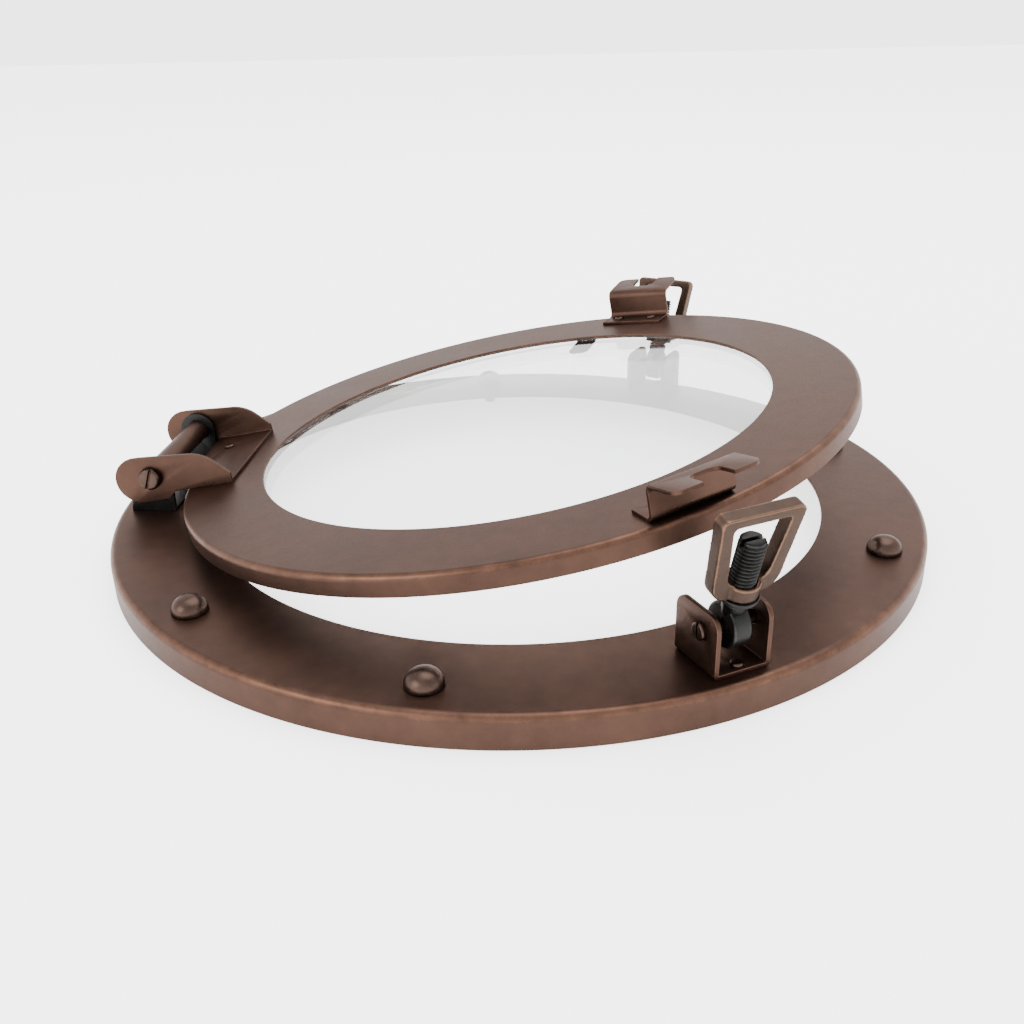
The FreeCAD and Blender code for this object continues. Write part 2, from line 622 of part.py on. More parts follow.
def clevis(label):
    """A U of sheet riveted to the base ring, whose cheeks hold the swing bolt's pivot."""
    body = new_body(label)
    top = "ring_top + clevis_high"
    section = sketch_on(body, "YZ_Plane", f"{label}_section", "clevis_inner")
    inner_half = "(clevis_half - clevis_sheet)"
    outline(section, [("0 - clevis_half", "ring_top"), ("clevis_half", "ring_top"), ("clevis_half", top),
                      (inner_half, top), (inner_half, "ring_top + clevis_sheet"),
                      (f"0 - {inner_half}", "ring_top + clevis_sheet"), (f"0 - {inner_half}", top),
                      ("0 - clevis_half", top)])
    pad(body, section, "clevis_depth", f"{label}_strip")
    round_edges(body, "clevis_sheet", f"{label}_bends",
                corner_edges("x", ("clevis_half", "ring_top"), ("0 - clevis_half", "ring_top")))
    round_edges(body, "clevis_round", f"{label}_corners",
                corner_edges("y", ("clevis_inner", top), ("clevis_inner + clevis_depth", top)))
    bore = sketch_on(body, "XZ_Plane", f"{label}_bore")
    circle(bore, "pivot_out", "pivot_up", "pivot_radius + hole_play")
    pocket(body, bore, f"{label}_pivot_holes")
    holes = sketch_on(body, "XY_Plane", f"{label}_rivet_spots")
    for distance in CLEVIS_RIVETS:
        circle(holes, distance, "0", "rivet_shank + hole_play")
    pocket(body, holes, f"{label}_rivet_holes")
    return body


def swing_bolt(label):
    """An eye on the pivot with a threaded shank whose end is slotted."""
    body = new_body(label)
    eye = sketch_on(body, "XZ_Plane", f"{label}_eye_shape")
    circle(eye, "pivot_out", "pivot_up", "eye_radius")
    pad(body, eye, "2 * eye_half", f"{label}_eye", both_ways=True)
    stem = sketch_on(body, "XY_Plane", f"{label}_stem", "pivot_up + eye_radius * 0.8")
    circle(stem, "pivot_out", "0", "shank_radius")
    pad(body, stem, "shank_reach - eye_radius * 0.8", f"{label}_shank")
    bore = sketch_on(body, "XZ_Plane", f"{label}_bore")
    circle(bore, "pivot_out", "pivot_up", "pivot_radius + turn_play")
    pocket(body, bore, f"{label}_pivot_hole")
    slot = sketch_on(body, "XY_Plane", f"{label}_slot", "pivot_up + shank_reach")
    outline(slot, [("pivot_out - end_slot / 2", "0 - shank_radius - 1"),
                   ("pivot_out + end_slot / 2", "0 - shank_radius - 1"),
                   ("pivot_out + end_slot / 2", "shank_radius + 1"),
                   ("pivot_out - end_slot / 2", "shank_radius + 1")])
    pocket(body, slot, f"{label}_slotting", "end_slot_deep", both_ways=False)
    return body


def thrust_washer(label):
    """The washer that rides under the stirrup nut."""
    body = new_body(label)
    section = sketch_on(body, "XY_Plane", f"{label}_circle", "pivot_up + nut_foot")
    circle(section, "pivot_out", "0", "washer_radius")
    circle(section, "pivot_out", "0", "shank_radius + turn_play")
    pad(body, section, "washer_thick", f"{label}_disc", back=True)
    return body


def stirrup_nut(label):
    """A closed loop with a tapped foot, turned by hand to run along the swing bolt."""
    body = new_body(label)
    foot, crown = "pivot_up + nut_foot", "pivot_up + nut_crown"
    floor, ceiling = f"{foot} + nut_hub", f"{crown} - nut_bar"
    foot_inner, crown_inner = "(nut_foot_half - nut_arm)", "(nut_crown_half - nut_arm)"
    loop = sketch_on(body, "YZ_Plane", f"{label}_loop_shape", "pivot_out")
    outline(loop, [("0 - nut_foot_half", foot), ("nut_foot_half", foot),
                   ("nut_crown_half", crown), ("0 - nut_crown_half", crown)])
    outline(loop, [(f"0 - {foot_inner}", floor), (foot_inner, floor),
                   (crown_inner, ceiling), (f"0 - {crown_inner}", ceiling)])
    pad(body, loop, "nut_deep", f"{label}_loop", both_ways=True)
    for radius, half, height in (("nut_arm * 1.4", "nut_foot_half", foot), ("nut_arm", foot_inner, floor),
                                 ("nut_arm / 2", "nut_crown_half", crown),
                                 ("nut_arm / 3", crown_inner, ceiling)):
        round_edges(body, radius, f"{label}_corner",
                    corner_edges("x", (half, height), (f"0 - {half}", height)))
    boss = sketch_on(body, "XY_Plane", f"{label}_boss_shape", foot)
    circle(boss, "pivot_out", "0", "nut_boss")
    pad(body, boss, "nut_hub", f"{label}_boss")
    bore = sketch_on(body, "XY_Plane", f"{label}_bore", f"{foot} - 1")
    circle(bore, "pivot_out", "0", "nut_bore")
    pocket(body, bore, f"{label}_tapping", "nut_hub + 2", both_ways=False, back=True)
    return body


def build_base():
    """Everything fixed to the base ring."""
    nodes = [base_ring(), hinge_bracket(), hinge_barrel()]
    stations = [at_station(angle) * shift("bolt_circle", "0", "0") for angle in BOLTS]
    nodes.append(group("dome_bolts", dome_bolt(), stations))
    nodes.append(group("dome_bolt_nuts", dome_bolt_nut(), stations))

    low, high = "ring_top - ring_sheet", "ring_top + ear_sheet"
    base_rivet = rivet("base_rivet_master", low, high, "rivet_head")
    bracket_spots = [shift("0 - (pin_out + ear_foot - ear_lobe) / 2", f"{sign} ear_rivet_side", "0")
                     for sign in ("", "-")]
    nodes.append(group("hinge_bracket_rivets", base_rivet, bracket_spots))
    clevis_spots = [at_station(angle) * shift(distance, "0", "0")
                    for angle in DOGS.values() for distance in CLEVIS_RIVETS]
    nodes.append(group("clevis_rivets", base_rivet, clevis_spots))

    cheek, pin_end = "strap_half + head_play", "strap_half + head_play + pin_nut_high + 1"
    pin = slotted_screw("hinge_pin", "0 - pin_out", "pin_up", "pin_radius", "pin_head",
                        "pin_head_high", cheek, pin_end, "end_slot")
    pin.Placement = FreeCAD.Placement(Vector(), FreeCAD.Rotation(Vector(0, 1, 0), size("pin_turn")),
                                      Vector(-size("pin_out"), 0, size("pin_up")))
    nodes.append(pin)
    nodes.append(cross_nut("hinge_pin_nut", "0 - pin_out", "pin_up", "bolt_nut", "pin_radius",
                           cheek, "pin_nut_high"))

    screw = slotted_screw("pivot_screw_master", "pivot_out", "pivot_up", "pivot_radius", "pivot_head",
                          "pivot_head_high", "clevis_half", "clevis_half + pivot_nut_high + 0.6", "0.9")
    nut = cross_nut("pivot_nut_master", "pivot_out", "pivot_up", "pivot_nut", "pivot_radius",
                    "clevis_half", "pivot_nut_high")
    dogs = [at_station(angle) for angle in DOGS.values()]
    nodes.append(group("pivot_screws", screw, dogs))
    nodes.append(group("pivot_nuts", nut, dogs))
    for name, angle in DOGS.items():
        body = clevis(f"{name}_clevis")
        body.Placement = at_station(angle)
        nodes.append(body)
    return nodes


def build_dogs():
    """The pieces of each dog that swing, slide and spin."""
    nodes = []
    for name, angle in DOGS.items():
        for make, piece in ((swing_bolt, "swing_bolt"), (thrust_washer, "thrust_washer"),
                            (stirrup_nut, "stirrup_nut")):
            body = make(f"{name}_{piece}")
            body.Placement = at_station(angle) * dog_leant()
            nodes.append(body)
    return nodes


def build_cover():
    """Everything that swings with the cover."""
    opened = cover_opened()
    under = "cover_top - cover_sheet"
    ring = cover_ring()
    gasket = disc("glass_gasket", "gasket_outer", under, "gasket_thick", "gasket_inner")
    pane = disc("glass_pane", "pane_radius", f"{under} - gasket_thick", "pane_thick")
    strap = hinge_strap()
    nodes = [ring, gasket, pane, strap]
    for body in nodes:
        body.Placement = opened
    clips = glass_clips()
    clips.Placement = opened * at_station("clip_station")
    nodes.append(clips)
    for name, angle in DOGS.items():
        body = lug(f"{name}_lug")
        body.Placement = opened * at_station(angle)
        nodes.append(body)

    lug_rivet = rivet("lug_rivet_master", under, "cover_top + lug_sheet", "rivet_head")
    lug_spots = [at_station(angle) * shift("lug_rivet_out", f"{sign} lug_rivet_side", "0")
                 for angle in DOGS.values() for sign in ("", "-")]
    nodes.append(group("lug_rivets", lug_rivet, lug_spots, opened))
    strap_rivet = rivet("strap_rivet_master", under, "cover_top + strap_sheet", "rivet_head")
    strap_spots = [shift("0 - strap_rivet_out", f"{sign} strap_rivet_side", "0") for sign in ("", "-")]
    nodes.append(group("strap_rivets", strap_rivet, strap_spots, opened))
    return nodes


def check(nodes):
    """Stop if any object of the document failed or any node's shape is unusable."""
    doc.recompute()
    for item in doc.Objects:
        if {"Invalid", "Error"} & set(item.State):
            raise RuntimeError(f"{item.Label} failed: {item.State}")
    for node in nodes:
        if node.Shape.isNull() or not node.Shape.isValid():
            raise RuntimeError(f"{node.Label} has no valid shape")


def write(nodes):
    """Write one STEP file per node, named by its label."""
    os.makedirs("parts", exist_ok=True)
    for node in nodes:
        node.Shape.exportStep(f"parts/{node.Label}.step")
        box = node.Shape.BoundBox
        print(f"{node.Label}: {len(node.Shape.Solids)} solids, {node.Shape.Volume:.0f} mm3, "
              f"z {box.ZMin:.1f} to {box.ZMax:.1f}")


fill_sheet()
all_nodes = build_base() + build_dogs() + build_cover()
check(all_nodes)
write(all_nodes)
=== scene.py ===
"""Looks of an opening porthole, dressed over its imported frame.

Everything is in metres in the part's own frame: +Z stands out of the wall, z = 0 is the
wall plane and the hinge pin runs along Y on the -X side. Pieces that turn on a lathe or
carry a thread are worked out here as surfaces. Bent and cut sheet pieces are copies of
the frame's nodes whose sharp edges get a real rounding, and castings are softened copies.
"""

import sys

import json
import logging
import math
from dataclasses import dataclass, field
from enum import Enum

import bmesh
import bpy
import numpy as np
from mathutils import Matrix, Vector


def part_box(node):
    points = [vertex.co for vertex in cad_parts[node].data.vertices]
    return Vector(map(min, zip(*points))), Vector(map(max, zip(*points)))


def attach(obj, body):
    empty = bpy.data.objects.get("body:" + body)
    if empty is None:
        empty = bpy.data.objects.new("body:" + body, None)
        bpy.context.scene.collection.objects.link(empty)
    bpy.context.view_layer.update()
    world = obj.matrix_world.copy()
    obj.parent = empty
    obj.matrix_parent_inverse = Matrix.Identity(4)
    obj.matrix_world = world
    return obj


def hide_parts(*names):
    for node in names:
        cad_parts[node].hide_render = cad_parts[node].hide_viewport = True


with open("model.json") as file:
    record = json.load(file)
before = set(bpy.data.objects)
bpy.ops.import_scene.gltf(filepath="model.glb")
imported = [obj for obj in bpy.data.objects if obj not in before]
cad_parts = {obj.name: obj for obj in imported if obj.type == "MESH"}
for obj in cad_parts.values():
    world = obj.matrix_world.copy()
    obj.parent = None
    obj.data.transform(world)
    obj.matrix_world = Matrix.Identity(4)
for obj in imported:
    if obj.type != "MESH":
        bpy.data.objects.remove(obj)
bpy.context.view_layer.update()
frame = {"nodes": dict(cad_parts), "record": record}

log = logging.getLogger("porthole")

# Lengths in metres: a millimetre, and how near points are merged in skins and CAD meshes.
MM = 0.001
MERGE_SKIN = 1e-7
MERGE_CAD = 2e-6
# Faces that meet at less than this angle become one.
FLAT_WITHIN = math.radians(0.5)
Colour = tuple[float, float, float]
Corner = tuple[float, float, float]
RECORD = frame["record"]
BODY_OF = {node: body for body, nodes in RECORD["behaviour"]["bodies"].items() for node in nodes}
SLOT_OF = {part["node"]: part["material_slot"] for part in RECORD["subparts"]}
JOINTS = {joint["name"]: joint for joint in RECORD["behaviour"]["joints"]}


# Places

def turned_about(joint_name: str, degrees: float) -> Matrix:
    """The motion of turning about a joint's axis.

    Args:
        joint_name: Name of a hinge joint in the record.
        degrees: How far to turn, positive by the right hand about the joint's axis.

    Returns:
        The 4 x 4 matrix of that turn.
    """
    joint = JOINTS[joint_name]
    centre = Matrix.Translation(Vector(joint["pos_m"]))
    turn = Matrix.Rotation(math.radians(degrees), 4, Vector(joint["axis"]))
    return centre @ turn @ centre.inverted()


def cover_opened() -> Matrix:
    """The turn that takes the shut cover to where it stands at rest."""
    return turned_about("cover_hinge", -JOINTS["cover_hinge"]["range_deg"][0])


def at_station(degrees: float) -> Matrix:
    """The turn about the ring's axis from the +X side to a station."""
    return Matrix.Rotation(math.radians(degrees), 4, "Z")


# Surfaces

@dataclass(frozen=True)
class Skin:
    """A closed surface.

    Attributes:
        points: Corner points, one row of x, y, z each, in metres.
        faces: Four point numbers a row.
        wear: How rubbed each point is, from 0 to 1.
    """

    points: np.ndarray
    faces: np.ndarray
    wear: np.ndarray

    def moved(self, place: Matrix) -> "Skin":
        """The same skin carried by a rigid motion."""
        turn = np.array(place)
        return Skin(self.points @ turn[:3, :3].T + turn[:3, 3], self.faces, self.wear)

    def outward(self) -> "Skin":
        """The same skin with its faces turned outwards.

        The sum over all faces of the box product of three corners has the sign of the
        enclosed volume, so a negative sum means that the faces point inwards.
        """
        a, b, c, d = (self.points[self.faces[:, k]] for k in range(4))
        volume = np.einsum("ij,ij->", a, np.cross(b, c)) + np.einsum("ij,ij->", a, np.cross(c, d))
        return self if volume > 0 else Skin(self.points, self.faces[:, ::-1], self.wear)


def joined(skins: list[Skin]) -> Skin:
    """Several skins as one, with the point numbers of each shifted past those before it."""
    starts = np.cumsum([0] + [len(skin.points) for skin in skins[:-1]])
    return Skin(np.concatenate([skin.points for skin in skins]),
                np.concatenate([skin.faces + start for skin, start in zip(skins, starts)]),
                np.concatenate([skin.wear for skin in skins]))


def grid_faces(rows: int, columns: int, closed_rows: bool) -> np.ndarray:
    """Quads over a grid of points whose columns run round and close.

    Args:
        rows: Number of rows.
        columns: Number of points in a row.
        closed_rows: Whether the last row joins the first.

    Returns:
        Point numbers, four a quad: this row and the next, this column and the next.
    """
    spans = rows if closed_rows else rows - 1
    row, column = np.meshgrid(np.arange(spans), np.arange(columns), indexing="ij")
    after, beside = (row + 1) % rows, (column + 1) % columns
    corners = (row * columns + column, row * columns + beside,
               after * columns + beside, after * columns + column)
    return np.stack(corners, axis=-1).reshape(-1, 4)


def rounded_profile(corners: list[Corner], closed: bool, steps: int = 8, fade: float = 1.2,
                    least_rub: float = 0.35) -> tuple[np.ndarray, np.ndarray]:
    """A profile whose corners are arcs.

    Each arc touches both sides of its corner: it starts the radius over the tangent of half
    the corner's angle away, and turns evenly about a centre on the corner's bisector. Wear
    is highest in the middle of an arc and has faded to nothing a little way along the flats.

    Args:
        corners: Radius from the axis, height and rounding of each corner, in millimetres.
        closed: Whether the profile is a loop. An open one starts and ends on the axis.
        steps: Number of spans in each arc.
        fade: How far along a flat the wear reaches, in millimetres.
        least_rub: Wear at the ends of an arc, where its middle has 1.

    Returns:
        The profile's points in millimetres, one row each, and their wear.
    """
    table = np.array(corners, dtype=float)
    inner = table if closed else table[1:-1]
    before = np.roll(table, 1, axis=0) if closed else table[:-2]
    after = np.roll(table, -1, axis=0) if closed else table[2:]
    point, radius = inner[:, :2], inner[:, 2:3]
    back, ahead = before[:, :2] - point, after[:, :2] - point
    back /= np.linalg.norm(back, axis=1, keepdims=True)
    ahead /= np.linalg.norm(ahead, axis=1, keepdims=True)
    half = np.arccos(np.clip(np.sum(back * ahead, axis=1, keepdims=True), -1, 1)) / 2
    bisector = (back + ahead) / np.linalg.norm(back + ahead, axis=1, keepdims=True)
    centre = point + bisector * radius / np.sin(half)
    first, last = (point + side * radius / np.tan(half) - centre for side in (back, ahead))
    sweep = (math.pi - 2 * half)[:, None, :]
    share = np.linspace(0, 1, steps + 1)[None, :, None]
    arcs = centre[:, None] + (first[:, None] * np.sin((1 - share) * sweep)
                              + last[:, None] * np.sin(share * sweep)) / np.sin(sweep)
    near = centre[:, None] + first[:, None] + back[:, None] * fade
    far = centre[:, None] + last[:, None] + ahead[:, None] * fade
    points = np.concatenate([near, arcs, far], axis=1)
    bend = back[:, 0] * ahead[:, 1] - back[:, 1] * ahead[:, 0]
    outward = np.sign(bend * np.median(np.sign(bend)))[:, None].clip(0, 1)
    hump = least_rub + (1 - least_rub) * np.sin(np.linspace(0, math.pi, steps + 1))
    rub = np.concatenate([[0.0], hump, [0.0]])[None, :]
    points, wear = points.reshape(-1, 2), (outward * rub).reshape(-1)
    if closed:
        return points, wear
    return np.vstack([table[:1, :2], points, table[-1:, :2]]), np.concatenate([[0.0], wear, [0.0]])


def lathe(profile: np.ndarray, wear: np.ndarray, closed: bool, around: int) -> Skin:
    """The skin that a profile sweeps round the Z axis.

    A point at radius r and height z becomes the circle r cos t, r sin t, z.

    Args:
        profile: Radius and height of each point, in millimetres.
        wear: Wear of each point.
        closed: Whether the profile is a loop.
        around: Number of points round the circle.

    Returns:
        The skin, with its faces outwards.
    """
    turn = np.linspace(0, 2 * math.pi, around, endpoint=False)
    radius, height = profile[:, :1], profile[:, 1:]
    points = np.stack([radius * np.cos(turn), radius * np.sin(turn), height + 0 * turn], axis=-1) * MM
    faces = grid_faces(len(profile), around, closed)
    return Skin(points.reshape(-1, 3), faces, np.repeat(wear, around)).outward()


def turned_piece(corners: list[Corner], closed: bool, around: int, fade: float = 1.2) -> Skin:
    """A lathe skin straight from its profile's rounded corners."""
    return lathe(*rounded_profile(corners, closed, fade=fade), closed, around)


def linked(name: str, data: bpy.types.ID) -> bpy.types.Object:
    """A new object in the scene that shows the data."""
    made = bpy.data.objects.new(name, data)
    bpy.context.scene.collection.objects.link(made)
    return made


def put_wear(mesh: bpy.types.Mesh, wear: np.ndarray) -> None:
    """Store how rubbed each of a mesh's points is, where the materials read it."""
    values = wear.astype(np.float32)
    mesh.attributes.new("wear", "FLOAT", "POINT").data.foreach_set("value", values)


def mesh_of(name: str, skin: Skin) -> bpy.types.Object:
    """An object in the scene from a skin, smooth-shaded, with its poles merged."""
    mesh = bpy.data.meshes.new(name)
    mesh.from_pydata(skin.points, [], skin.faces)
    put_wear(mesh, skin.wear)
    work = bmesh.new()
    work.from_mesh(mesh)
    bmesh.ops.remove_doubles(work, verts=work.verts, dist=MERGE_SKIN)
    work.to_mesh(mesh)
    work.free()
    mesh.shade_smooth()
    return linked(name, mesh)


def copy_of(node: str, name: str) -> bpy.types.Object:
    """A copy of a CAD node whose doubles are merged and whose flats are single faces."""
    work = bmesh.new()
    work.from_mesh(frame["nodes"][node].data)
    bmesh.ops.remove_doubles(work, verts=work.verts, dist=MERGE_CAD)
    bmesh.ops.dissolve_limit(work, angle_limit=FLAT_WITHIN, verts=work.verts, edges=work.edges)
    mesh = bpy.data.meshes.new(name)
    work.to_mesh(mesh)
    work.free()
    mesh.shade_smooth()
    return linked(name, mesh)


def settled(piece: bpy.types.Object) -> bpy.types.Object:
    """The piece with its modifiers' result as its own mesh."""
    finished = piece.evaluated_get(bpy.context.evaluated_depsgraph_get())
    mesh = bpy.data.meshes.new_from_object(finished)
    piece.modifiers.clear()
    piece.data = mesh
    return piece


def rub_by_shape(piece: bpy.types.Object, gain: float) -> None:
    """Mark how rubbed a dense mesh is by how far each point stands out.

    A point's wear is the height of the point over the mean of its neighbours, along its
    normal, as a share of its edges' length, times the gain.

    Args:
        piece: Object with an even, dense mesh.
        gain: Wear for each unit of that share.
    """
    mesh = piece.data
    points = np.empty(len(mesh.vertices) * 3, dtype=np.float32)
    mesh.vertices.foreach_get("co", points)
    points = points.reshape(-1, 3)
    normals = np.empty(len(mesh.vertices) * 3, dtype=np.float32)
    mesh.vertices.foreach_get("normal", normals)
    edges = np.empty(len(mesh.edges) * 2, dtype=np.int32)
    mesh.edges.foreach_get("vertices", edges)
    one, other = edges.reshape(-1, 2).T
    total, count = np.zeros_like(points), np.zeros(len(points))
    for here, there in ((one, other), (other, one)):
        np.add.at(total, here, points[there])
        np.add.at(count, here, 1)
    length = np.linalg.norm(points[one] - points[other], axis=1).mean()
    height = np.einsum("ij,ij->i", points - total / count[:, None], normals.reshape(-1, 3)) / length
    put_wear(mesh, np.clip(height * gain, 0, 1))


# Shaders

class Value:
    """A shader number that adds Math nodes when it is used in an expression."""

    def __init__(self, pad: "ShaderPad", socket: bpy.types.NodeSocket) -> None:
        """Wrap an output socket of the pad's tree."""
        self.pad, self.socket = pad, socket

    def __add__(self, other: "Value | float") -> "Value":
        """This plus other."""
        return self.pad.math("ADD", self, other)

    __radd__ = __add__

    def __mul__(self, other: "Value | float") -> "Value":
        """This times other."""
        return self.pad.math("MULTIPLY", self, other)

    __rmul__ = __mul__

    def __sub__(self, other: "Value | float") -> "Value":
        """This less other."""
        return self.pad.math("SUBTRACT", self, other)

    def __pow__(self, other: float) -> "Value":
        """This to a power."""
        return self.pad.math("POWER", self, other)

    def clamped(self) -> "Value":
        """This, held between 0 and 1."""
        return self.pad.math("ADD", self, 0.0, use_clamp=True)


class ShaderPad:
    """A material being made."""

    def __init__(self, name: str) -> None:
        """Start an empty material."""
        self.material = bpy.data.materials.new(name)
        self.material.use_nodes = True
        self.tree = self.material.node_tree
        self.tree.nodes.clear()
        self.place = self.node("ShaderNodeTexCoord").outputs["Object"]

    def node(self, kind: str, settings: dict | None = None,
             values: dict | None = None) -> bpy.types.Node:
        """Add a node.

        Args:
            kind: Blender's name for the node's type.
            settings: The node's properties.
            values: A plain value or a link for each socket, by its name or number.

        Returns:
            The new node.
        """
        made = self.tree.nodes.new(kind)
        for key, setting in (settings or {}).items():
            setattr(made, key, setting)
        for key, value in (values or {}).items():
            if isinstance(value, Value):
                self.tree.links.new(value.socket, made.inputs[key])
            elif isinstance(value, bpy.types.NodeSocket):
                self.tree.links.new(value, made.inputs[key])
            else:
                made.inputs[key].default_value = value
        return made

    def math(self, operation: str, one: "Value | float", other: "Value | float",
             use_clamp: bool = False) -> Value:
        """A Math node on two numbers."""
        settings = {"operation": operation, "use_clamp": use_clamp}
        return Value(self, self.node("ShaderNodeMath", settings, {0: one, 1: other}).outputs[0])

    def noise(self, size: float, detail: float = 3.0, roughness: float = 0.55) -> Value:
        """Cloudy noise.

        Args:
            size: Width of a cloud, in metres.
            detail: How many finer layers it carries.
            roughness: How strong the finer layers are.

        Returns:
            The noise, about 0.5 on average.
        """
        values = {"Vector": self.place, "Scale": 1 / size, "Detail": detail, "Roughness": roughness}
        return Value(self, self.node("ShaderNodeTexNoise", None, values).outputs[0])

    def blend(self, share: Value, one: "Colour | bpy.types.NodeSocket",
              other: "Colour | bpy.types.NodeSocket") -> bpy.types.NodeSocket:
        """A colour between two: the first at a share of 0 and the second at 1."""
        colours = [(*colour, 1.0) if isinstance(colour, tuple) else colour for colour in (one, other)]
        values = {0: share, 6: colours[0], 7: colours[1]}
        return self.node("ShaderNodeMix", {"data_type": "RGBA"}, values).outputs[2]

    def relief(self, height: Value, depth: float) -> bpy.types.NodeSocket:
        """A bumped normal, for a height of 0 to 1 that stands for a depth in metres."""
        return self.node("ShaderNodeBump", None, {"Height": height, "Distance": depth}).outputs[0]

    def close(self, values: dict) -> bpy.types.Material:
        """Finish the material with one Principled shader."""
        shader = self.node("ShaderNodeBsdfPrincipled", None, values)
        self.node("ShaderNodeOutputMaterial", None, {"Surface": shader.outputs[0]})
        return self.material


def finish_pad(name: str, on_edge: bool) -> ShaderPad:
    """A pad for a finish, or for the finish of its rounded edges."""
    return ShaderPad(name + ("_edge" if on_edge else ""))


@dataclass(frozen=True)
class Mix:
    """A weighted sum of patterns with an offset, held between 0 and 1.

    Attributes:
        weights: How much each pattern counts, in their order.
        offset: What is taken off the sum.
    """

    weights: tuple[float, ...]
    offset: float

    def of(self, *patterns: Value) -> Value:
        """The mix of these patterns."""
        first, *others = (pattern * weight for pattern, weight in zip(patterns, self.weights, strict=True))
        return (sum(others, start=first) - self.offset).clamped()


@dataclass(frozen=True)
class RubbedMetal:
    """Metal with a clouded dark finish that is rubbed through to bright metal on its edges.

    Attributes:
        name: Name of the finish.
        dark: Colour of the darkest clouds.
        body: Colour of the finish.
        rubbed: Colour of the bare metal.
        metallic: How metallic it is.
        roughness: Roughness of the finish; the bare metal is smoother.
        cloud: Width of the clouds, in metres.
        grain: Width of the fine grain, in metres.
        depth: Height of the grain, in metres.
        edge: Wear of the pieces' machine-rounded edges.
        rim: Colour of the reflection at a glancing view, as a share of a white metal's.
        tone: How the clouds, the patches and the grain lighten the finish.
        bare: How the wear, the patches and the grain lay the metal bare.
        grain_rough: How much the grain changes the roughness.
        cloud_rough: How much the clouds change it.
        polish: How much smoother the bare metal is.
    """

    name: str
    dark: Colour
    body: Colour
    rubbed: Colour
    metallic: float = 1.0
    roughness: float = 0.42
    cloud: float = 0.03
    grain: float = 0.0007
    depth: float = 0.00002
    edge: float = 0.75
    rim: Colour = (0.76, 0.72, 0.71)
    tone: Mix = Mix((1.1, 0.6, 0.4), offset=0.35)
    bare: Mix = Mix((1.4, 0.6, 0.2), offset=0.95)
    grain_rough: float = 0.25
    cloud_rough: float = 0.15
    polish: float = 0.14

    def material(self, on_edge: bool) -> bpy.types.Material:
        """Make the material.

        Args:
            on_edge: Whether it is for rounded edges, which are worn all along, or for the rest,
                whose wear is the mesh's own.

        Returns:
            The material.
        """
        pad = finish_pad(self.name, on_edge)
        clouds = pad.noise(self.cloud, detail=4.0)
        patches = pad.noise(self.cloud / 5, detail=4.0, roughness=0.6)
        grain = pad.noise(self.grain, roughness=0.7)
        wear = Value(pad, pad.node("ShaderNodeAttribute", {"attribute_name": "wear"}).outputs["Fac"])
        if on_edge:
            wear = self.edge + 0.0 * wear
        tone = self.tone.of(clouds, patches, grain)
        bare = self.bare.of(wear, patches, grain)
        colour = pad.blend(bare, pad.blend(tone, self.dark, self.body), self.rubbed)
        rough = (self.roughness + (grain - 0.5) * self.grain_rough
                 + (clouds - 0.5) * self.cloud_rough - bare * self.polish)
        return pad.close({"Base Color": colour, "Metallic": self.metallic,
                          "Roughness": rough.clamped(), "Specular Tint": (*self.rim, 1.0),
                          "Normal": pad.relief(grain * 0.7 + patches, self.depth)})


@dataclass(frozen=True)
class PlainMetal:
    """Bare or plated metal with faint brushing.

    Attributes:
        name: Name of the finish.
        body: Its colour.
        dull: Colour of the tarnished patches.
        roughness: Its roughness.
        patch: Width of the patches, in metres.
        grain: Width of the fine grain, in metres.
        depth: Height of the grain, in metres.
        clean: What is taken off the tarnish.
        clean_edge: What is taken off it on rounded edges.
    """

    name: str
    body: Colour
    dull: Colour
    roughness: float = 0.3
    patch: float = 0.002
    grain: float = 0.0004
    depth: float = 0.00001
    clean: float = 0.8
    clean_edge: float = 1.1

    def material(self, on_edge: bool) -> bpy.types.Material:
        """Make the material; rounded edges are cleaner than the rest."""
        pad = finish_pad(self.name, on_edge)
        patches, grain = pad.noise(self.patch, detail=4.0), pad.noise(self.grain, detail=2.0)
        tarnish = Mix((1.8, 0.5), self.clean_edge if on_edge else self.clean).of(patches, grain)
        return pad.close({"Base Color": pad.blend(tarnish, self.body, self.dull), "Metallic": 1.0,
                          "Roughness": (self.roughness + tarnish * 0.2).clamped(),
                          "Normal": pad.relief(grain, self.depth)})


@dataclass(frozen=True)
class RubberFinish:
    """Matt black rubber with a fine dusty grain.

    Attributes:
        name: Name of the finish.
        body: Its colour.
        dust: Colour of the dust on it.
        roughness: Its least roughness.
        grain: Width of the grain, in metres.
        depth: Height of the grain, in metres.
    """

    name: str
    body: Colour = (0.02, 0.02, 0.02)
    dust: Colour = (0.07, 0.068, 0.065)
    roughness: float = 0.7
    grain: float = 0.0008
    depth: float = 0.00003

    def material(self, on_edge: bool) -> bpy.types.Material:
        """Make the material; edges look like the rest."""
        pad = finish_pad(self.name, on_edge)
        grain = pad.noise(self.grain)
        dusty = Mix((1.6,), offset=0.5).of(grain)
        return pad.close({"Base Color": pad.blend(dusty, self.body, self.dust),
                          "Roughness": (self.roughness + grain * 0.2).clamped(),
                          "Normal": pad.relief(grain, self.depth)})


